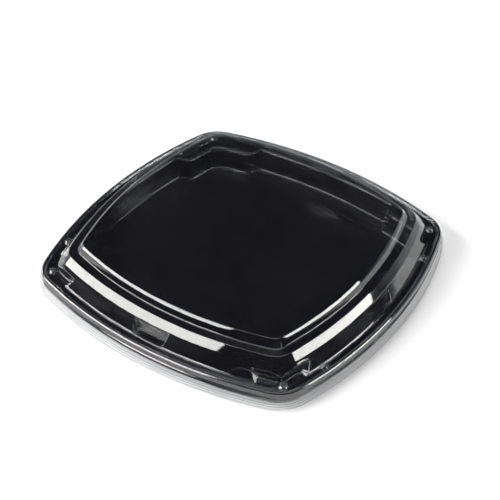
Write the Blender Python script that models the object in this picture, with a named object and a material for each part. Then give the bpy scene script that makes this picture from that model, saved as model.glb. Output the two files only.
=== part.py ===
# Square takeaway platter: a shallow black thermoformed tray with a clear lift-off dome lid.
# Both are thin sheets pulled over a mould: a stack of level rings, each a square with
# bowed sides and round corners, skinned from the centre outwards and then given a wall.
# Metres, +Z up. The tray's underside rests on z = 0 and the platter is centred on the Z axis.
from collections import namedtuple
import math

import bpy
import bmesh

MM = 0.001

# Driving dimensions
TRAY_WALL = 0.6 * MM
LID_WALL = 0.5 * MM
SEAT_GAP = 0.3 * MM             # between the lid's underside and the tray's rim
FLANGE_HEIGHT = 20.0 * MM       # upper face of the lid's flange
LID_RISE = 25.8 * MM            # top panel above that flange
STEP_DROP = 7.3 * MM            # sloping step round the top panel, down to a flat ledge
SHOULDER_DROP = 13.5 * MM       # lower edge of the sloping shoulder, below the top panel
BEAD_RISE = 2.4 * MM            # rolled bead above the flange
GROOVE_DROP = 5.0 * MM          # snap groove below the flange
SKIRT_DROP = 13.8 * MM          # hem of the lid's skirt below the flange
TAB_DEPTH = 6.4 * MM            # upright notch at the foot of each side of the lid's wall
LIP_RISE = 1.0 * MM             # small upright foot under the lid's sloping wall
FACET_OUT = 140.0 * MM          # upright flats that cut the foot of the wall beside each corner:
FACET_TURN = math.radians(16.6)     # their distance from the centre, and turn from the side
TRAY_CORNER_INSET = 11.0 * MM   # how far the tray's floor is pulled in at each corner
FLOOR_EASE = 0.2 * MM           # the floor's edge eases up by this much before the wall
PIP_RADIUS = 4.2 * MM
PIP_HEIGHT = 1.9 * MM
PIP_SINK = 0.2 * MM             # how far a pip's foot reaches into the flange
PIP_SIDES = 10

# Where the rings have their corners, as fractions of half a side
TAB_FLAT = 0.13
TAB_EDGE = 0.18
SIDE_MIDDLE = 0.36
SIDE_QUARTER = 0.54
INSET_START = 0.66
INSET_FULL = 0.76
FACET_START = 0.86
FACET_FULL = 0.92
HALF_SIDE = (0.0, TAB_FLAT, TAB_EDGE, SIDE_MIDDLE, SIDE_QUARTER,
             INSET_START, INSET_FULL, FACET_START, FACET_FULL, 1.0)
CORNER_STEPS = 4
QUARTERS = 4

# A ring: half width at mid-side, where its corner crosses the diagonal, corner radius and height.
# tab and inset say how deep the side notch and the corner's set-back are, and facet, 0 or 1,
# whether the corner flats cut the ring.
Ring = namedtuple("Ring", "half corner radius height tab inset facet", defaults=(0.0, 0.0, 0.0))


def ring_mm(half, corner, radius, height, **features):
    return Ring(half * MM, corner * MM, radius * MM, height, **features)


def parallel(ring, out, up):
    # the ring moved outwards by the same distance all the way round, and raised
    return ring._replace(half=ring.half + out, corner=ring.corner + out / math.sqrt(2),
                         radius=max(ring.radius + out, MM), height=ring.height + up)


def ramp(value, start, end):
    return min(max((value - start) / (end - start), 0.0), 1.0)


def quarter_points(ring):
    # one side with its bow, then the corner that follows it anticlockwise, with inward normals
    reach = ring.corner - ring.radius / math.sqrt(2)
    bow = ring.radius ** 2 - reach ** 2 - (reach - ring.half) ** 2
    bow /= 2 * (reach - ring.half + ring.radius)
    turn = math.atan2(reach, reach - ring.half + bow)
    fractions = [-f for f in reversed(HALF_SIDE[1:])] + list(HALF_SIDE)
    points = []
    for fraction in fractions:
        angle = turn * fraction
        at = (bow * math.sin(angle), ring.half - bow + bow * math.cos(angle))
        points.append((at, angle, abs(fraction)))
    for step in range(1, CORNER_STEPS):
        angle = turn + (math.pi / 2 - 2 * turn) * step / CORNER_STEPS
        at = (reach + ring.radius * math.sin(angle), reach + ring.radius * math.cos(angle))
        points.append((at, angle, 1.0))
    return points


def cut_by_facets(x, y, share):
    # move a point that lies past an upright flat onto it, or part of the way
    side = math.copysign(1, x)
    for turn in (FACET_TURN, math.pi / 2 - FACET_TURN):
        normal = (side * math.sin(turn), math.cos(turn))
        past = max(normal[0] * x + normal[1] * y - FACET_OUT, 0.0) * share
        x -= past * normal[0]
        y -= past * normal[1]
    return x, y


def ring_points(ring):
    loop = []
    for quarter in range(QUARTERS):
        spin = -quarter * math.pi / 2
        for (x, y), angle, fraction in quarter_points(ring):
            pull = ring.tab * (1 - ramp(fraction, TAB_FLAT, TAB_EDGE))
            pull += ring.inset * ramp(fraction, INSET_START, INSET_FULL)
            x -= pull * math.sin(angle)
            y -= pull * math.cos(angle)
            x, y = cut_by_facets(x, y, ring.facet * ramp(fraction, FACET_START, FACET_FULL))
            loop.append((x * math.cos(spin) - y * math.sin(spin),
                         x * math.sin(spin) + y * math.cos(spin), ring.height))
    return loop


def moulded_sheet(name, rings, wall, material):
    # skin the rings, close the middle with one flat panel, and thicken the sheet downwards
    bm = bmesh.new()
    loops = [[bm.verts.new(p) for p in ring_points(ring)] for ring in rings]
    count = len(loops[0])
    bm.faces.new(loops[0])
    for inner, outer in zip(loops, loops[1:]):
        for i in range(count):
            j = (i + 1) % count
            bm.faces.new((inner[i], inner[j], outer[j], outer[i]))
    bmesh.ops.recalc_face_normals(bm, faces=bm.faces)
    if bm.faces[0].normal.z < 0:
        bmesh.ops.reverse_faces(bm, faces=bm.faces)
    mesh = bpy.data.meshes.new(name)
    bm.to_mesh(mesh)
    bm.free()
    mesh.shade_smooth()
    mesh.set_sharp_from_angle(angle=math.radians(25))
    mesh.materials.append(material)
    sheet = bpy.data.objects.new(name, mesh)
    bpy.context.collection.objects.link(sheet)
    thicken = sheet.modifiers.new("wall", 'SOLIDIFY')
    thicken.thickness = wall
    thicken.offset = -1.0
    thicken.use_even_offset = True
    return sheet


def plastic(name, colour, roughness, alpha=1.0):
    material = bpy.data.materials.new(name)
    material.use_nodes = True
    shader = material.node_tree.nodes["Principled BSDF"]
    shader.inputs["Base Color"].default_value = (*colour, 1.0)
    shader.inputs["Roughness"].default_value = roughness
    shader.inputs["Metallic"].default_value = 0.0
    shader.inputs["Alpha"].default_value = alpha
    return material


def rim_rings():
    # the lid's flange, rolled bead, snap groove and skirt, from the flange outwards
    top = FLANGE_HEIGHT
    return [
        ring_mm(138.6, 117.0, 25.0, top),
        ring_mm(141.4, 118.9, 24.0, top),
        ring_mm(142.8, 119.9, 25.4, top + 0.85 * BEAD_RISE),
        ring_mm(144.5, 120.9, 27.1, top + BEAD_RISE),
        ring_mm(146.2, 122.3, 28.8, top + 0.7 * BEAD_RISE),
        ring_mm(146.9, 122.8, 29.5, top - GROOVE_DROP),
        ring_mm(148.5, 123.6, 32.0, top - 1.16 * GROOVE_DROP),
        ring_mm(149.9, 123.5, 36.0, top - SKIRT_DROP),
    ]


def lid_rings():
    top = FLANGE_HEIGHT + LID_RISE
    shoulder = top - SHOULDER_DROP
    foot = FLANGE_HEIGHT + LIP_RISE
    return [
        ring_mm(113.2, 97.1, 9.0, top),
        ring_mm(116.8, 99.4, 11.0, top - STEP_DROP),
        ring_mm(123.8, 104.8, 19.0, top - STEP_DROP - 0.4 * MM),
        ring_mm(128.9, 108.6, 22.0, shoulder),
        ring_mm(129.6, 109.1, 22.4, shoulder - 1.1 * MM, tab=0.04 * TAB_DEPTH),
        ring_mm(136.3, 114.9, 25.6, foot, tab=TAB_DEPTH, facet=1.0),
        ring_mm(136.6, 115.1, 25.8, FLANGE_HEIGHT + 0.8 * LIP_RISE, facet=1.0),
        ring_mm(136.9, 115.4, 26.0, FLANGE_HEIGHT, facet=1.0),
    ] + rim_rings()


def nested(rings, gap):
    # the same profile one gap below, mitred where neighbouring bands meet
    below = []
    for i, ring in enumerate(rings):
        before = rings[max(i - 1, 0)]
        after = rings[min(i + 1, len(rings) - 1)]
        bands = [(b.half - a.half, b.height - a.height) for a, b in ((before, ring), (ring, after))
                 if a is not b]
        normals = [(rise / math.hypot(run, rise), -run / math.hypot(run, rise)) for run, rise in bands]
        out = sum(n[0] for n in normals) / len(normals)
        up = sum(n[1] for n in normals) / len(normals)
        mitre = gap / (out * out + up * up)
        below.append(parallel(ring, out * mitre, up * mitre))
    return below


def tray_rings():
    # the tray's rim follows the lid's underside and stops short of the lid's skirt
    under = LID_WALL + SEAT_GAP
    seat = FLANGE_HEIGHT - under
    return [
        ring_mm(121.0, 104.5, 15.0, TRAY_WALL, inset=TRAY_CORNER_INSET),
        ring_mm(126.0, 108.5, 19.0, TRAY_WALL + FLOOR_EASE, inset=TRAY_CORNER_INSET),
        ring_mm(128.2, 110.2, 20.5, TRAY_WALL + 1.6 * MM, inset=TRAY_CORNER_INSET),
        ring_mm(132.6, 113.0, 24.0, seat - 1.2 * MM, inset=0.6 * TRAY_CORNER_INSET),
        ring_mm(133.8, 113.8, 25.0, seat, inset=0.6 * TRAY_CORNER_INSET),
    ] + nested(rim_rings(), under)[1:-1]


def pip_places():
    # one on each diagonal, and one further along each of the two sides that face Y
    diagonal = 115.2 * MM
    along = 78.5 * MM
    out = 128.8 * MM
    spots = []
    for sx in (-1, 1):
        for sy in (-1, 1):
            spots.append((sx * diagonal, sy * diagonal))
            spots.append((sx * along, sy * out))
    return spots


def pips(name):
    # low round knobs pressed up from the lid's flange
    bm = bmesh.new()
    profile = ((1.0, -PIP_SINK), (0.86, 0.5 * PIP_HEIGHT), (0.5, 0.9 * PIP_HEIGHT))
    for x, y in pip_places():
        loops = []
        for share, rise in profile:
            turns = [2 * math.pi * i / PIP_SIDES for i in range(PIP_SIDES)]
            radius = share * PIP_RADIUS
            loops.append([bm.verts.new((x + radius * math.cos(t), y + radius * math.sin(t),
                                        FLANGE_HEIGHT + rise)) for t in turns])
        bm.faces.new(reversed(loops[0]))
        for low, high in zip(loops, loops[1:]):
            for i in range(PIP_SIDES):
                j = (i + 1) % PIP_SIDES
                bm.faces.new((low[i], low[j], high[j], high[i]))
        bm.faces.new(loops[-1])
    mesh = bpy.data.meshes.new(name)
    bm.to_mesh(mesh)
    bm.free()
    cutter = bpy.data.objects.new(name, mesh)
    bpy.context.collection.objects.link(cutter)
    cutter.hide_render = True
    cutter.display_type = 'WIRE'
    return cutter


def build():
    for old in list(bpy.data.objects):
        bpy.data.objects.remove(old, do_unlink=True)
    black = plastic("black_plastic", (0.012, 0.012, 0.014), 0.18)
    clear = plastic("clear_plastic", (0.93, 0.95, 0.96), 0.06, alpha=0.25)
    moulded_sheet("tray", tray_rings(), TRAY_WALL, black)
    lid = moulded_sheet("lid", lid_rings(), LID_WALL, clear)
    knobs = lid.modifiers.new("pips", 'BOOLEAN')
    knobs.operation = 'UNION'
    knobs.object = pips("pip_shapes")


build()
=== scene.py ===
import math

import bpy
import numpy as np
from mathutils import Matrix, Vector


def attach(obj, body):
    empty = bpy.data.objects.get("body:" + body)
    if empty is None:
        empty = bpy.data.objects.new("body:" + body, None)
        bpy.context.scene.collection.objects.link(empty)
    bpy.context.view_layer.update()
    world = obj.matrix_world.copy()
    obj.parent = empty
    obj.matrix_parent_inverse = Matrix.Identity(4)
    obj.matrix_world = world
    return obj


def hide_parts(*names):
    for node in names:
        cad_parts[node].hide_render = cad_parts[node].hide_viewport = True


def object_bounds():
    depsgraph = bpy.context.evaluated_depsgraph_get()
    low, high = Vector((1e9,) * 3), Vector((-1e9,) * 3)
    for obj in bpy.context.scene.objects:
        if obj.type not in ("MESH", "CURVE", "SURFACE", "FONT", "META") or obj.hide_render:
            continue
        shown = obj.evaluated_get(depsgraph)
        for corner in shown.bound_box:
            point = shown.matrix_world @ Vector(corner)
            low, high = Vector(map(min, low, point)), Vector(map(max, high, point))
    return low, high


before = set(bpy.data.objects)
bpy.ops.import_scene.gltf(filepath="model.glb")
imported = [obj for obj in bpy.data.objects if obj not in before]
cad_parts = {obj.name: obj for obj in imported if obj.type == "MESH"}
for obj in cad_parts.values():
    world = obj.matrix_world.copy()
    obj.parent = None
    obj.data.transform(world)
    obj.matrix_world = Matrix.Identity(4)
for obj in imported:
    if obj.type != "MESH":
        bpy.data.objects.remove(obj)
cadLow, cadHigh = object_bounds()
mm = 0.001
outerHalf = cadHigh[0] / mm      # half the width over the skirt
lidTop = cadHigh[2] / mm

# Square takeaway platter: a black pulled-sheet tray under a clear lift-off lid.
# Every sheet is a stack of level rings, each a square with bowed sides and round corners.
# A ring is half (middle of a side), corner (where it crosses the diagonal), radius and height,
# in millimetres; tab and inset are pulls in millimetres, facet a share from 0 to 1.
ringKeys = ("half", "corner", "radius", "height", "tab", "facet", "inset")

outline = {
    "sideParts": ((0.0, 0.11, 3), (0.11, 0.185, 19), (0.185, 0.64, 10), (0.64, 0.78, 9),
                  (0.78, 0.96, 20), (0.96, 1.0, 2)),   # from, to, how many stations, on half a side
    "cornerSteps": 20,
    "tabBlend": 0.006,          # half the width of a notch's end, as a share of half a side
    "facetBlend": 0.008,
    "bendShare": 0.48,          # a soft bend takes at most this share of the run on each side
    "sharpAngle": 38.0,         # sheet edges sharper than this are shaded as creases
}


def sideFractions():
    half = [0.0]
    for start, end, count in outline["sideParts"]:
        half += [start + (end - start) * (i + 1) / count for i in range(count)]
    return np.array([-f for f in reversed(half[1:])] + half)


sideAt = sideFractions()
cornerAt = np.arange(1, outline["cornerSteps"]) / outline["cornerSteps"]
stationAt = np.tile(np.concatenate([np.abs(sideAt), np.ones(len(cornerAt))]), 4)


def smooth(value, start, end):
    t = np.clip((value - start) / (end - start), 0.0, 1.0)
    return t * t * (3 - 2 * t)


def ringOutline(half, corner, radius):
    # a side's shallow arc, then the corner's tight one, four times round, clockwise from above
    reach = corner - radius / math.sqrt(2)
    bow = (radius ** 2 - reach ** 2 - (reach - half) ** 2) / (2 * (reach - half + radius))
    turn = math.atan2(reach, reach - half + bow)
    sideTurn = turn * sideAt
    cornerTurn = turn + (math.pi / 2 - 2 * turn) * cornerAt
    x = np.concatenate([bow * np.sin(sideTurn), reach + radius * np.sin(cornerTurn)])
    y = np.concatenate([half - bow + bow * np.cos(sideTurn), reach + radius * np.cos(cornerTurn)])
    return x, y, np.concatenate([sideTurn, cornerTurn])


def ringPoints(ring, features):
    spot = dict(zip(ringKeys, ring))
    x, y, facing = ringOutline(spot["half"], spot["corner"], spot["radius"])
    at = stationAt[:len(x)]
    rise = spot["height"] - features["footHeight"]
    slant = np.clip(rise / features["tabHeight"], 0.0, 1.0)
    tabEnd = features["tabFoot"] + (features["tabTop"] - features["tabFoot"]) * slant
    blend = outline["tabBlend"]
    pull = spot["tab"] * (1 - smooth(at, tabEnd - blend, tabEnd + blend))
    pull = pull + spot["inset"] * smooth(at, features["insetStart"], features["insetEnd"])
    x = x - pull * np.sin(facing)
    y = y - pull * np.cos(facing)
    facetStart = features["facetTop"] + (features["facetFoot"] - features["facetTop"]) * (1 - slant)
    blend = outline["facetBlend"]
    share = spot["facet"] * smooth(at, facetStart - blend, facetStart + blend)
    side = np.where(x < 0, -1.0, 1.0)
    for turn in (features["facetTurn"], 90 - features["facetTurn"]):
        nx = side * math.sin(math.radians(turn))
        ny = math.cos(math.radians(turn))
        past = np.maximum(nx * x + ny * y - features["facetOut"], 0.0) * share
        x = x - past * nx
        y = y - past * ny
    z = np.full(len(x), spot["height"])
    loops = []
    for quarter in range(4):
        spin = -quarter * math.pi / 2
        loops.append(np.stack([x * math.cos(spin) - y * math.sin(spin),
                               x * math.sin(spin) + y * math.cos(spin), z], 1))
    return np.concatenate(loops)


def softProfile(keys):
    # keys: dictionaries of ring values, with "soft" for how far the bend starts from the key,
    # "bends" for its steps and "steps" for the straight run after it
    values = [np.array([key.get(name, 0.0) for name in ringKeys]) for key in keys]
    rings = [values[0]]
    last = values[0]
    for i in range(1, len(keys)):
        key = keys[i]
        before = math.hypot(*(values[i] - values[i - 1])[[0, 3]])
        soft = min(key.get("soft", 0.0), outline["bendShare"] * before)
        bendIn, bendOut = values[i], values[i]
        if i + 1 < len(keys) and soft > 0:
            after = math.hypot(*(values[i + 1] - values[i])[[0, 3]])
            soft = min(soft, outline["bendShare"] * after)
            bendIn = values[i] + (values[i - 1] - values[i]) * soft / before
            bendOut = values[i] + (values[i + 1] - values[i]) * soft / after
        steps = keys[i - 1].get("steps", 1)
        rings += [last + (bendIn - last) * s / steps for s in range(1, steps + 1)]
        last = bendIn
        if soft > 0 and i + 1 < len(keys):
            bends = key.get("bends", 4)
            for b in range(1, bends + 1):
                t = b / bends
                rings.append((1 - t) ** 2 * bendIn + 2 * t * (1 - t) * values[i] + t * t * bendOut)
            last = bendOut
    return rings


def nestedProfile(rings, gap):
    # the same profile one gap underneath
    path = np.array([[ring[0], ring[3]] for ring in rings])
    run = np.gradient(path, axis=0)
    run /= np.linalg.norm(run, axis=1)[:, None]
    moved = []
    for ring, (across, up) in zip(rings, run):
        out = up * gap
        down = across * gap
        below = ring.copy()
        below[0] += out
        below[1] += out / math.sqrt(2)
        below[2] = max(ring[2] + out, 1.0)
        below[3] -= down
        moved.append(below)
    return moved


def sheetNormals(points):
    along = np.roll(points, -1, axis=1) - np.roll(points, 1, axis=1)
    across = np.gradient(points, axis=0)
    normal = np.cross(along, across)
    return normal / np.maximum(np.linalg.norm(normal, axis=2)[:, :, None], 1e-12)


def sheetPiece(name, rings, features, wall):
    # skin the rings, offset them by the wall, and close the middle and the hem
    points = np.stack([ringPoints(ring, features) for ring in rings])
    inner = points - sheetNormals(points) * wall
    rows, columns = points.shape[:2]
    centre = points[0].mean(axis=0)
    middle = np.array([[0.0, 0.0, centre[2]], [0.0, 0.0, centre[2] - wall]])
    verts = np.concatenate([points.reshape(-1, 3), inner.reshape(-1, 3), middle]) * mm
    lower = rows * columns
    faces = []
    for j in range(columns):
        k = (j + 1) % columns
        for i in range(rows - 1):
            a, b = i * columns, (i + 1) * columns
            faces.append((a + j, a + k, b + k, b + j))
            faces.append((lower + a + k, lower + a + j, lower + b + j, lower + b + k))
        hem = (rows - 1) * columns
        faces.append((hem + j, hem + k, lower + hem + k, lower + hem + j))
        faces.append((2 * lower, k, j))
        faces.append((2 * lower + 1, lower + j, lower + k))
    mesh = bpy.data.meshes.new(name)
    mesh.from_pydata([tuple(v) for v in verts], [], faces)
    mesh.update()
    mesh.shade_smooth()
    mesh.set_sharp_from_angle(angle=math.radians(outline["sharpAngle"]))
    piece = bpy.data.objects.new(name, mesh)
    bpy.context.collection.objects.link(piece)
    print(name, len(verts), "points,", len(faces), "faces")
    return piece


def newMaterial(name):
    material = bpy.data.materials.new(name)
    material.use_nodes = True
    material.node_tree.nodes.clear()
    return material, material.node_tree.nodes, material.node_tree.links


def noiseOn(nodes, links, scale, detail, roughness=0.5):
    where = nodes.new("ShaderNodeTexCoord")
    noise = nodes.new("ShaderNodeTexNoise")
    noise.inputs["Scale"].default_value = scale
    noise.inputs["Detail"].default_value = detail
    noise.inputs["Roughness"].default_value = roughness
    links.new(where.outputs["Object"], noise.inputs["Vector"])
    return noise.outputs["Fac"]


def remap(nodes, links, source, low, high, fromLow=0.3, fromHigh=0.7):
    span = nodes.new("ShaderNodeMapRange")
    span.inputs["From Min"].default_value = fromLow
    span.inputs["From Max"].default_value = fromHigh
    span.inputs["To Min"].default_value = low
    span.inputs["To Max"].default_value = high
    links.new(source, span.inputs["Value"])
    return span.outputs["Result"]


def waviness(nodes, links, layers):
    # a pulled sheet is never quite flat: slow waves from the mould, and a faint skin over them
    normal = None
    for layer in layers:
        bump = nodes.new("ShaderNodeBump")
        bump.inputs["Strength"].default_value = layer["strength"]
        bump.inputs["Distance"].default_value = layer["distance"]
        height = noiseOn(nodes, links, layer["scale"], layer["detail"])
        links.new(height, bump.inputs["Height"])
        if normal is not None:
            links.new(normal, bump.inputs["Normal"])
        normal = bump.outputs["Normal"]
    return normal


def sheetShader(nodes, links, look):
    # drifting tint, cloudy gloss and waviness, for either plastic
    shader = nodes.new("ShaderNodeBsdfPrincipled")
    shader.inputs["IOR"].default_value = look["ior"]
    tint = nodes.new("ShaderNodeMix")
    tint.data_type = 'RGBA'
    tint.inputs["A"].default_value = look["tint"]
    tint.inputs["B"].default_value = look["tintDeep"]
    drift = remap(nodes, links, noiseOn(nodes, links, **look["drift"]), 0.0, 1.0)
    links.new(drift, tint.inputs["Factor"])
    links.new(tint.outputs["Result"], shader.inputs["Base Color"])
    cloud = noiseOn(nodes, links, **look["cloud"])
    gloss = remap(nodes, links, cloud, look["smoothest"], look["roughest"])
    links.new(gloss, shader.inputs["Roughness"])
    links.new(waviness(nodes, links, look["waves"]), shader.inputs["Normal"])
    return shader


blackSheet = {
    "ior": 1.52,
    "tint": (0.0022, 0.0022, 0.0034, 1.0),
    "tintDeep": (0.0042, 0.0042, 0.0058, 1.0),
    "drift": {"scale": 9.0, "detail": 3.0},
    "cloud": {"scale": 34.0, "detail": 4.0, "roughness": 0.6},
    "smoothest": 0.10,
    "roughest": 0.20,
    "waves": (
        {"scale": 26.0, "detail": 2.0, "strength": 0.06, "distance": 0.0010},
        {"scale": 420.0, "detail": 3.0, "strength": 0.02, "distance": 0.0001},
    ),
}


def blackPlastic(look):
    material, nodes, links = newMaterial("glossBlackSheet")
    shader = sheetShader(nodes, links, look)
    end = nodes.new("ShaderNodeOutputMaterial")
    links.new(shader.outputs["BSDF"], end.inputs["Surface"])
    print("black sheet material is ready")
    return material


clearSheet = {
    "ior": 1.52,
    "shade": (0.80, 0.81, 0.82, 1.0),   # how much lamp light a wall lets through
    "tint": (0.90, 0.91, 0.925, 1.0),
    "tintDeep": (0.86, 0.875, 0.895, 1.0),
    "drift": {"scale": 12.0, "detail": 3.0},
    "cloud": {"scale": 60.0, "detail": 5.0, "roughness": 0.6},
    "smoothest": 0.015,
    "roughest": 0.06,
    "waves": (
        {"scale": 30.0, "detail": 2.0, "strength": 0.03, "distance": 0.0006},
        {"scale": 500.0, "detail": 3.0, "strength": 0.008, "distance": 0.0001},
    ),
}


def clearPlastic(look):
    # lamps shine through as through a plain pane, everything else sees the glossy sheet
    material, nodes, links = newMaterial("clearGlossSheet")
    shader = sheetShader(nodes, links, look)
    shader.inputs["Transmission Weight"].default_value = 1.0
    pane = nodes.new("ShaderNodeBsdfTransparent")
    pane.inputs["Color"].default_value = look["shade"]
    path = nodes.new("ShaderNodeLightPath")
    choose = nodes.new("ShaderNodeMixShader")
    links.new(path.outputs["Is Shadow Ray"], choose.inputs["Fac"])
    links.new(shader.outputs["BSDF"], choose.inputs[1])
    links.new(pane.outputs["BSDF"], choose.inputs[2])
    end = nodes.new("ShaderNodeOutputMaterial")
    links.new(choose.outputs["Shader"], end.inputs["Surface"])
    print("clear sheet material is ready")
    return material


flangeTop = 20.0                # upper face of the lid's flange above the table
lid = {
    "wall": 0.5,
    "features": {
        "footHeight": flangeTop, "tabHeight": 12.0, "tabFoot": 0.125, "tabTop": 0.17,
        "insetStart": 0.66, "insetEnd": 0.76,
        "facetTop": 0.85, "facetFoot": 0.92, "facetTurn": 16.6, "facetOut": 140.0,
    },
    "crown": 0.2,               # the top panel is barely domed
    "top": lidTop - flangeTop,  # this and the heights below are above the flange
    "ledge": 18.5,
    "shoulder": 12.3,
    "lip": 1.0,                 # little upright foot under the sloping wall
    "skirtStart": -4.0,
    "skirtRibs": 4,
    "ribDepth": 0.28,
    "skirtTop": (147.7, 122.9, 31.0),       # half, corner and radius where the skirt starts
    "skirtFoot": (149.7, 123.4, 36.0),      # and just above its hem
    "hem": -13.8,
}


def lidTopKeys():
    top = flangeTop + lid["top"]
    ledge = flangeTop + lid["ledge"]
    shoulder = flangeTop + lid["shoulder"]
    return [
        {"half": 22.0, "corner": 18.9, "radius": 2.0, "height": top + lid["crown"], "steps": 2},
        {"half": 70.0, "corner": 60.2, "radius": 5.6, "height": top + 0.7 * lid["crown"], "steps": 2},
        {"half": 104.0, "corner": 89.4, "radius": 8.2, "height": top + 0.2 * lid["crown"]},
        {"half": 112.7, "corner": 96.6, "radius": 8.7, "height": top, "soft": 0.5},
        {"half": 114.6, "corner": 97.8, "radius": 9.6, "height": top - 1.95, "soft": 0.5},
        {"half": 117.1, "corner": 99.5, "radius": 11.0, "height": ledge + 0.4, "soft": 0.8},
        {"half": 123.9, "corner": 105.0, "radius": 19.0, "height": ledge, "soft": 0.45},
        {"half": 128.9, "corner": 108.7, "radius": 22.0, "height": shoulder, "soft": 0.45},
        {"half": 129.2, "corner": 108.9, "radius": 22.1, "height": shoulder - 0.5},
        {"half": 129.6, "corner": 109.2, "radius": 22.4, "height": shoulder - 1.1,
         "tab": 0.2, "facet": 1.0, "steps": 18},
        {"half": 136.3, "corner": 114.9, "radius": 25.6, "height": flangeTop + lid["lip"],
         "tab": 6.4, "facet": 1.0},
        {"half": 136.6, "corner": 115.1, "radius": 25.8, "height": flangeTop + 0.85 * lid["lip"],
         "facet": 1.0, "soft": 0.2},
        {"half": 136.9, "corner": 115.4, "radius": 26.0, "height": flangeTop,
         "facet": 1.0, "soft": 0.35},
        {"half": 138.6, "corner": 117.0, "radius": 25.0, "height": flangeTop},
    ]


def rimKeys():
    return [
        {"half": 139.4, "corner": 117.5, "radius": 24.6, "height": flangeTop},
        {"half": 141.6, "corner": 119.0, "radius": 24.2, "height": flangeTop, "soft": 0.7},
        {"half": 142.9, "corner": 119.9, "radius": 25.5, "height": flangeTop + 2.4, "soft": 0.9},
        {"half": 145.0, "corner": 121.45, "radius": 27.6, "height": flangeTop + 2.35, "soft": 0.6},
        {"half": 146.0, "corner": 122.15, "radius": 28.6, "height": flangeTop + 1.1, "soft": 0.2},
        {"half": 146.4, "corner": 122.45, "radius": 29.1, "height": flangeTop - 2.3, "soft": 0.3},
        {"half": 147.2, "corner": 122.75, "radius": 30.2, "height": flangeTop - 3.3, "soft": 0.2},
    ]


def skirtKeys():
    # below the groove the skirt flares a little and carries level ribs down to the hem
    keys = []
    ribs = lid["skirtRibs"]
    start, end = lid["skirtStart"], lid["hem"]
    top, foot = np.array(lid["skirtTop"]), np.array(lid["skirtFoot"])
    for i in range(ribs):
        for part, out in ((0.0, 0.0), (0.32, 1.0), (0.62, 1.0), (0.86, 0.0)):
            t = (i + part) / ribs
            bulge = lid["ribDepth"] * out
            half, corner, radius = top + (foot - top) * t
            keys.append({"half": half + bulge, "corner": corner + bulge / math.sqrt(2),
                         "radius": radius, "height": flangeTop + start + (end - start) * t,
                         "soft": 0.22, "bends": 2})
    keys.append({"half": outerHalf, "corner": 123.5, "radius": 36.0, "height": flangeTop + end})
    return keys


def makeLid(material):
    profile = softProfile(lidTopKeys() + rimKeys() + skirtKeys())
    piece = sheetPiece("clearLid", profile, lid["features"], lid["wall"])
    piece.data.materials.append(material)
    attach(piece, "root")
    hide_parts("lid")
    return piece


# Small shapes repeated on the lid: each is grown by a node tree on points or a path.
def newTree(name, inputs):
    tree = bpy.data.node_groups.new(name, "GeometryNodeTree")
    tree.interface.new_socket("Geometry", in_out='INPUT', socket_type="NodeSocketGeometry")
    for label, kind in inputs:
        tree.interface.new_socket(label, in_out='INPUT', socket_type=kind)
    tree.interface.new_socket("Geometry", in_out='OUTPUT', socket_type="NodeSocketGeometry")
    return tree, tree.nodes.new("NodeGroupInput"), tree.nodes.new("NodeGroupOutput")


def calc(tree, operation, first, second, third=None):
    node = tree.nodes.new("ShaderNodeMath")
    node.operation = operation
    for socket, value in zip(node.inputs, (first, second, third)):
        if value is None:
            continue
        if isinstance(value, (int, float)):
            socket.default_value = value
        else:
            tree.links.new(value, socket)
    return node.outputs["Value"]


def finishTree(tree, given, end, geometry):
    real = tree.nodes.new("GeometryNodeRealizeInstances")
    smoothed = tree.nodes.new("GeometryNodeSetShadeSmooth")
    dress = tree.nodes.new("GeometryNodeSetMaterial")
    tree.links.new(geometry, real.inputs["Geometry"])
    tree.links.new(real.outputs["Geometry"], smoothed.inputs["Geometry"])
    tree.links.new(smoothed.outputs["Geometry"], dress.inputs["Geometry"])
    tree.links.new(given.outputs["Material"], dress.inputs["Material"])
    tree.links.new(dress.outputs["Geometry"], end.inputs["Geometry"])


def grow(name, carrier, tree, settings):
    # run the tree on its carrier and keep the result as a plain mesh
    holder = bpy.data.objects.new(name + "Carrier", carrier)
    bpy.context.collection.objects.link(holder)
    modifier = holder.modifiers.new("grow", 'NODES')
    modifier.node_group = tree
    for item in tree.interface.items_tree:
        if item.in_out == 'INPUT' and item.name in settings:
            modifier[item.identifier] = settings[item.name]
    graph = bpy.context.evaluated_depsgraph_get()
    mesh = bpy.data.meshes.new_from_object(holder.evaluated_get(graph), depsgraph=graph)
    holder.modifiers.clear()
    bpy.data.objects.remove(holder, do_unlink=True)
    mesh.name = name
    piece = bpy.data.objects.new(name, mesh)
    bpy.context.collection.objects.link(piece)
    print(name, len(mesh.vertices), "points")
    return piece


def carrierOf(name, points, edges, lean=None):
    mesh = bpy.data.meshes.new(name)
    mesh.from_pydata([tuple(p) for p in points], edges, [])
    if lean is not None:
        held = mesh.attributes.new("lean", 'FLOAT_VECTOR', 'POINT')
        held.data.foreach_set("vector", np.array(lean, dtype=float).ravel())
    return mesh


pips = {
    "Radius": 4.3 * mm,
    "Rise": 2.3 * mm,
    "Dimple": 0.5 * mm,
    "Wall": 0.45 * mm,
    "diagonal": 115.3,          # across and along, for the knob on each corner
    "along": 78.6,
    "out": 129.4,
    "above": 0.02,              # keeps the knobs clear of the flange's own face
    "Crown": 0.34,              # share of the knob that is level on top
    "Tightness": 7.0,           # of the dimple
}


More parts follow.
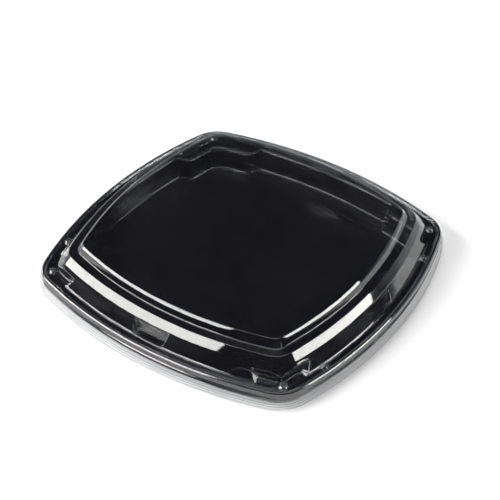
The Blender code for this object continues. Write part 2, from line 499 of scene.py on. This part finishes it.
def pipTree():
    # a hollow round knob: a ball whose upper half is set to the dome and lower half just under it
    tree, given, end = newTree("hollowPips", (("Radius", "NodeSocketFloat"),
        ("Rise", "NodeSocketFloat"), ("Dimple", "NodeSocketFloat"), ("Wall", "NodeSocketFloat"),
        ("Crown", "NodeSocketFloat"), ("Tightness", "NodeSocketFloat"),
        ("Material", "NodeSocketMaterial")))
    links = tree.links
    ball = tree.nodes.new("GeometryNodeMeshUVSphere")
    ball.inputs["Segments"].default_value = 44
    ball.inputs["Rings"].default_value = 30
    links.new(given.outputs["Radius"], ball.inputs["Radius"])
    where = tree.nodes.new("GeometryNodeInputPosition")
    split = tree.nodes.new("ShaderNodeSeparateXYZ")
    links.new(where.outputs["Position"], split.inputs["Vector"])
    across = calc(tree, 'SQRT', calc(tree, 'ADD', calc(tree, 'POWER', split.outputs["X"], 2.0),
                                     calc(tree, 'POWER', split.outputs["Y"], 2.0)), 0.0)
    share = calc(tree, 'DIVIDE', across, given.outputs["Radius"])
    flank = tree.nodes.new("ShaderNodeMapRange")
    flank.interpolation_type = 'SMOOTHSTEP'
    links.new(given.outputs["Crown"], flank.inputs["From Min"])
    flank.inputs["To Min"].default_value = 1.0
    flank.inputs["To Max"].default_value = 0.0
    links.new(share, flank.inputs["Value"])
    dome = calc(tree, 'MULTIPLY', given.outputs["Rise"], flank.outputs["Result"])
    falloff = calc(tree, 'MULTIPLY', given.outputs["Tightness"], calc(tree, 'POWER', share, 2.0))
    dent = calc(tree, 'DIVIDE', given.outputs["Dimple"], calc(tree, 'EXPONENT', falloff, 0.0))
    top = calc(tree, 'SUBTRACT', dome, dent)
    under = calc(tree, 'LESS_THAN', split.outputs["Z"], 0.0)
    height = calc(tree, 'SUBTRACT', top, calc(tree, 'MULTIPLY', under, given.outputs["Wall"]))
    join = tree.nodes.new("ShaderNodeCombineXYZ")
    links.new(split.outputs["X"], join.inputs["X"])
    links.new(split.outputs["Y"], join.inputs["Y"])
    links.new(height, join.inputs["Z"])
    shape = tree.nodes.new("GeometryNodeSetPosition")
    links.new(ball.outputs["Mesh"], shape.inputs["Geometry"])
    links.new(join.outputs["Vector"], shape.inputs["Position"])
    spread = tree.nodes.new("GeometryNodeInstanceOnPoints")
    links.new(given.outputs["Geometry"], spread.inputs["Points"])
    links.new(shape.outputs["Geometry"], spread.inputs["Instance"])
    finishTree(tree, given, end, spread.outputs["Instances"])
    return tree


def makePips(material):
    spots = []
    level = (flangeTop + pips["above"]) * mm
    for sx in (-1, 1):
        for sy in (-1, 1):
            spots.append((sx * pips["diagonal"] * mm, sy * pips["diagonal"] * mm, level))
            spots.append((sx * pips["along"] * mm, sy * pips["out"] * mm, level))
    piece = grow("flangePips", carrierOf("pipSpots", spots, []), pipTree(),
                 {**pips, "Material": material})
    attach(piece, "root")
    return piece


flutes = {
    "Thick": 0.42 * mm,
    "Length": 4.6 * mm,
    "apart": 2.6,               # between neighbours at a corner, mm
    "perCorner": 3,
    "bow": 0.05,                # how fast the row falls back from the corner's middle
}


def fluteTree():
    # slim round-ended bars that lie up the step at each corner
    tree, given, end = newTree("cornerFlutes", (("Thick", "NodeSocketFloat"),
        ("Length", "NodeSocketFloat"), ("Material", "NodeSocketMaterial")))
    links = tree.links
    ball = tree.nodes.new("GeometryNodeMeshUVSphere")
    ball.inputs["Segments"].default_value = 16
    ball.inputs["Rings"].default_value = 14
    ball.inputs["Radius"].default_value = 1.0
    size = tree.nodes.new("ShaderNodeCombineXYZ")
    links.new(given.outputs["Thick"], size.inputs["X"])
    links.new(given.outputs["Thick"], size.inputs["Y"])
    links.new(calc(tree, 'MULTIPLY', given.outputs["Length"], 0.5), size.inputs["Z"])
    lean = tree.nodes.new("GeometryNodeInputNamedAttribute")
    lean.data_type = 'FLOAT_VECTOR'
    lean.inputs["Name"].default_value = "lean"
    turn = tree.nodes.new("FunctionNodeAlignRotationToVector")
    turn.axis = 'Z'
    links.new(lean.outputs["Attribute"], turn.inputs["Vector"])
    spread = tree.nodes.new("GeometryNodeInstanceOnPoints")
    links.new(given.outputs["Geometry"], spread.inputs["Points"])
    links.new(ball.outputs["Mesh"], spread.inputs["Instance"])
    links.new(turn.outputs["Rotation"], spread.inputs["Rotation"])
    links.new(size.outputs["Vector"], spread.inputs["Scale"])
    finishTree(tree, given, end, spread.outputs["Instances"])
    return tree


def makeFlutes(material):
    spots, lean = [], []
    stepTop, stepFoot = lidTopKeys()[4:6]
    high = np.array([stepTop["corner"], stepTop["height"]])
    low = np.array([stepFoot["corner"], stepFoot["height"]])
    middle = (high + low) / 2 * mm
    up = high - low
    for quarter in range(4):
        angle = math.radians(45 + 90 * quarter)
        outward = np.array([math.cos(angle), math.sin(angle)])
        sideways = np.array([-outward[1], outward[0]])
        for i in range(flutes["perCorner"]):
            step = (i - (flutes["perCorner"] - 1) / 2) * flutes["apart"] * mm
            base = outward * middle[0] * math.sqrt(2) + sideways * step
            base = base - outward * flutes["bow"] * abs(step)
            spots.append((base[0], base[1], middle[1]))
            lean.append((*(outward * up[0] * math.sqrt(2)), up[1]))
    piece = grow("cornerFlutes", carrierOf("fluteSpots", spots, [], lean), fluteTree(),
                 {**flutes, "Material": material})
    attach(piece, "root")
    return piece


serration = {
    "Count": 620,
    "Thick": 0.30 * mm,
    "Tall": 0.75 * mm,
    "half": 149.45,             # the ring that the teeth stand on
    "corner": 123.15,
    "radius": 35.0,
    "aboveHem": 1.1,
}


def serrationTree():
    # fine upright teeth along the foot of the skirt
    tree, given, end = newTree("hemSerration", (("Count", "NodeSocketInt"),
        ("Thick", "NodeSocketFloat"), ("Tall", "NodeSocketFloat"),
        ("Material", "NodeSocketMaterial")))
    links = tree.links
    path = tree.nodes.new("GeometryNodeMeshToCurve")
    links.new(given.outputs["Geometry"], path.inputs["Mesh"])
    even = tree.nodes.new("GeometryNodeResampleCurve")
    links.new(path.outputs["Curve"], even.inputs["Curve"])
    links.new(given.outputs["Count"], even.inputs["Count"])
    ball = tree.nodes.new("GeometryNodeMeshIcoSphere")
    ball.inputs["Radius"].default_value = 1.0
    ball.inputs["Subdivisions"].default_value = 2
    size = tree.nodes.new("ShaderNodeCombineXYZ")
    links.new(given.outputs["Thick"], size.inputs["X"])
    links.new(given.outputs["Thick"], size.inputs["Y"])
    links.new(given.outputs["Tall"], size.inputs["Z"])
    spread = tree.nodes.new("GeometryNodeInstanceOnPoints")
    links.new(even.outputs["Curve"], spread.inputs["Points"])
    links.new(ball.outputs["Mesh"], spread.inputs["Instance"])
    links.new(size.outputs["Vector"], spread.inputs["Scale"])
    finishTree(tree, given, end, spread.outputs["Instances"])
    return tree


def makeSerration(material):
    level = flangeTop + lid["hem"] + serration["aboveHem"]
    ring = [serration["half"], serration["corner"], serration["radius"], level, 0.0, 0.0, 0.0]
    points = ringPoints(ring, lid["features"]) * mm
    count = len(points)
    edges = [(i, (i + 1) % count) for i in range(count)]
    piece = grow("hemSerration", carrierOf("hemPath", points, edges), serrationTree(),
                 {**serration, "Material": material})
    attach(piece, "root")
    return piece


tray = {
    "wall": 0.6,
    "gap": 0.8,                 # the lid's wall and a hair of air
    "cornerInset": 11.0,
    "roundOver": 7.0,           # how far below the flange the wall starts to round over
    "hemDrop": 7.0,             # how far the tray's own rim hangs below the flange; its depth is partly painted shade: the black seen through the clear skirt stands in for the rim's shadow on the table
    "features": {
        "footHeight": 0.0, "tabHeight": 20.0, "tabFoot": 0.1, "tabTop": 0.1,
        "insetStart": 0.67, "insetEnd": 0.75,
        "facetTop": 0.85, "facetFoot": 0.9, "facetTurn": 16.6, "facetOut": 200.0,
    },
}


def trayFloorKeys():
    inset = tray["cornerInset"]
    seat = flangeTop - tray["gap"]
    floor = tray["wall"]
    return [
        {"half": 24.0, "corner": 20.8, "radius": 3.0, "height": floor, "steps": 2},
        {"half": 80.0, "corner": 69.0, "radius": 10.0, "height": floor, "steps": 2},
        {"half": 117.0, "corner": 101.2, "radius": 12.0, "height": floor, "inset": inset},
        {"half": 126.6, "corner": 109.0, "radius": 19.4, "height": floor + 0.2, "inset": inset,
         "soft": 1.8, "bends": 6, "steps": 8},
        {"half": 130.9, "corner": 112.0, "radius": 22.5, "height": seat - tray["roundOver"],
         "inset": inset},
        {"half": 133.4, "corner": 113.6, "radius": 25.0, "height": seat, "inset": inset,
         "soft": 5.0, "bends": 10},
        {"half": 138.6, "corner": 116.8, "radius": 25.0, "height": seat},
    ]


def trayRimKeys():
    # the lid's flange and the inside of its bead, then straight down inside the skirt
    return rimKeys()[:3] + [
        {"half": 145.5, "corner": 121.8, "radius": 28.1, "height": flangeTop + 2.3, "soft": 1.0},
        {"half": 146.3, "corner": 122.4, "radius": 29.0, "height": flangeTop - 2.3, "soft": 0.5},
        {"half": 147.0, "corner": 122.6, "radius": 30.0, "height": flangeTop - tray["hemDrop"]},
    ]


def makeTray(material):
    rim = softProfile(trayRimKeys())
    profile = softProfile(trayFloorKeys()) + nestedProfile(rim, tray["gap"])
    piece = sheetPiece("blackTray", profile, tray["features"], tray["wall"])
    piece.data.materials.append(material)
    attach(piece, "root")
    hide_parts("tray")
    return piece


studio = {
    "lookAt": Vector((0.0, 0.0, flangeTop * mm)),
    "azimuth": -56.07,
    "elevation": 40.62,
    "roll": 0.97,
    "distance": 1.183,
    "nudgeRight": 0.0042,
    "lens": 99.9,
    "floor": (0.90, 0.90, 0.895, 1.0),
    "floorHalf": 6.0,
    "floorRough": 0.9,
    "floorSpecular": 0.1,
    "floorLift": 0.16,          # seen by the camera alone, so that the ground is white
    "fill": (0.020, 0.020, 0.023, 1.0),
    "overhead": (1.7, 1.7, 1.78, 1.0),
    "backdrop": (0.85, 0.86, 0.88, 1.0),
    "backdropRise": (0.02, 0.62),   # sine of the elevation where it starts and stops fading
    "backdropSide": (0.15, 0.60),   # cosine from straight behind, from nothing to full
    "overheadRise": (0.80, 0.97),
    # angles in degrees, seen from the platter; "bright" is the radiance of the lamp's face
    "lamps": (
        {"name": "leftBox", "azimuth": -135.0, "elevation": 29.0, "distance": 3.0, "roll": 17.0,
         "halfWide": 31.0, "halfTall": 15.0, "bright": 9.5, "colour": (1.0, 0.985, 0.955)},
        {"name": "rightBox", "azimuth": 27.3, "elevation": 22.0, "distance": 3.0, "roll": -13.0,
         "halfWide": 14.0, "halfTall": 10.0, "bright": 10.0, "colour": (1.0, 0.985, 0.955)},
    ),
}


def direction(azimuth, elevation):
    a, e = math.radians(azimuth), math.radians(elevation)
    return Vector((math.sin(a) * math.cos(e), -math.cos(a) * math.cos(e), math.sin(e)))


def fade(nodes, links, source, span, curve, low=0.0, high=1.0):
    ramp = nodes.new("ShaderNodeMapRange")
    ramp.interpolation_type = curve
    ramp.inputs["From Min"].default_value, ramp.inputs["From Max"].default_value = span
    ramp.inputs["To Min"].default_value = low
    ramp.inputs["To Max"].default_value = high
    links.new(source, ramp.inputs["Value"])
    return ramp.outputs["Result"]


def blendTone(nodes, links, amount, first, second):
    blend = nodes.new("ShaderNodeMix")
    blend.data_type = 'RGBA'
    links.new(amount, blend.inputs["Factor"])
    for socket, value in ((blend.inputs["A"], first), (blend.inputs["B"], second)):
        if isinstance(value, tuple):
            socket.default_value = value
        else:
            links.new(value, socket)
    return blend.outputs["Result"]


def makeRoom():
    # a dim room, with a pale backdrop behind the platter that fades upwards and to the sides,
    # and a soft glow straight overhead
    world = bpy.data.worlds.new("room")
    world.use_nodes = True
    nodes, links = world.node_tree.nodes, world.node_tree.links
    where = nodes.new("ShaderNodeTexCoord")
    split = nodes.new("ShaderNodeSeparateXYZ")
    links.new(where.outputs["Generated"], split.inputs["Vector"])
    aim = nodes.new("ShaderNodeVectorMath")
    aim.operation = 'DOT_PRODUCT'
    aim.inputs[1].default_value = -direction(studio["azimuth"], 0.0)
    links.new(where.outputs["Generated"], aim.inputs[0])
    up = split.outputs["Z"]
    rise = fade(nodes, links, up, studio["backdropRise"], 'SMOOTHERSTEP', 1.0, 0.0)
    across = fade(nodes, links, aim.outputs["Value"], studio["backdropSide"], 'SMOOTHSTEP')
    both = nodes.new("ShaderNodeMath")
    both.operation = 'MULTIPLY'
    links.new(rise, both.inputs[0])
    links.new(across, both.inputs[1])
    tone = blendTone(nodes, links, both.outputs["Value"], studio["fill"], studio["backdrop"])
    high = fade(nodes, links, up, studio["overheadRise"], 'SMOOTHSTEP')
    whole = blendTone(nodes, links, high, tone, studio["overhead"])
    links.new(whole, nodes["Background"].inputs["Color"])
    bpy.context.scene.world = world


def floorMaterial():
    material, nodes, links = newMaterial("paleFloor")
    shader = nodes.new("ShaderNodeBsdfPrincipled")
    shader.inputs["Base Color"].default_value = studio["floor"]
    shader.inputs["Roughness"].default_value = studio["floorRough"]
    shader.inputs["Specular IOR Level"].default_value = studio["floorSpecular"]
    glow = nodes.new("ShaderNodeEmission")
    path = nodes.new("ShaderNodeLightPath")
    lit = nodes.new("ShaderNodeMath")
    lit.operation = 'MULTIPLY'
    lit.inputs[1].default_value = studio["floorLift"]
    links.new(path.outputs["Is Camera Ray"], lit.inputs[0])
    links.new(lit.outputs["Value"], glow.inputs["Strength"])
    both = nodes.new("ShaderNodeAddShader")
    links.new(shader.outputs["BSDF"], both.inputs[0])
    links.new(glow.outputs["Emission"], both.inputs[1])
    end = nodes.new("ShaderNodeOutputMaterial")
    links.new(both.outputs["Shader"], end.inputs["Surface"])
    return material


def makeFloor():
    mesh = bpy.data.meshes.new("floor")
    size = studio["floorHalf"]
    mesh.from_pydata([(-size, -size, 0), (size, -size, 0), (size, size, 0), (-size, size, 0)],
                     [], [(0, 1, 2, 3)])
    mesh.materials.append(floorMaterial())
    floor = bpy.data.objects.new("floor", mesh)
    bpy.context.collection.objects.link(floor)


def makeLamp(lamp):
    light = bpy.data.lights.new(lamp["name"], 'AREA')
    light.shape = 'RECTANGLE'
    light.size = 2 * lamp["distance"] * math.tan(math.radians(lamp["halfWide"]))
    light.size_y = 2 * lamp["distance"] * math.tan(math.radians(lamp["halfTall"]))
    light.energy = lamp["bright"] * math.pi * light.size * light.size_y
    light.color = lamp["colour"]
    box = bpy.data.objects.new(lamp["name"], light)
    towards = direction(lamp["azimuth"], lamp["elevation"])
    box.location = studio["lookAt"] + towards * lamp["distance"]
    lean = Matrix.Rotation(math.radians(lamp["roll"]), 3, towards)
    box.rotation_euler = (lean @ towards.to_track_quat('Z', 'Y').to_matrix()).to_euler()
    box.visible_camera = False
    bpy.context.collection.objects.link(box)


def makeCamera():
    lens = bpy.data.cameras.new("camera")
    lens.lens = studio["lens"]
    lens.clip_start = 0.01
    camera = bpy.data.objects.new("camera", lens)
    back = direction(studio["azimuth"], studio["elevation"])
    right = (-back).cross(Vector((0, 0, 1))).normalized()
    camera.location = (studio["lookAt"] + back * studio["distance"]
                       + right * studio["nudgeRight"])
    lean = Matrix.Rotation(math.radians(studio["roll"]), 3, back)
    camera.rotation_euler = (lean @ back.to_track_quat('Z', 'Y').to_matrix()).to_euler()
    bpy.context.collection.objects.link(camera)
    bpy.context.scene.camera = camera


def makeStudio():
    makeFloor()
    for lamp in studio["lamps"]:
        makeLamp(lamp)
    makeRoom()
    makeCamera()
    bpy.context.scene.view_settings.view_transform = 'Standard'
    print("floor, lamps and camera are in place")


makeStudio()
clear = clearPlastic(clearSheet)
black = blackPlastic(blackSheet)
makeTray(black)
makeLid(clear)
makePips(clear)
makeFlutes(clear)
makeSerration(clear)
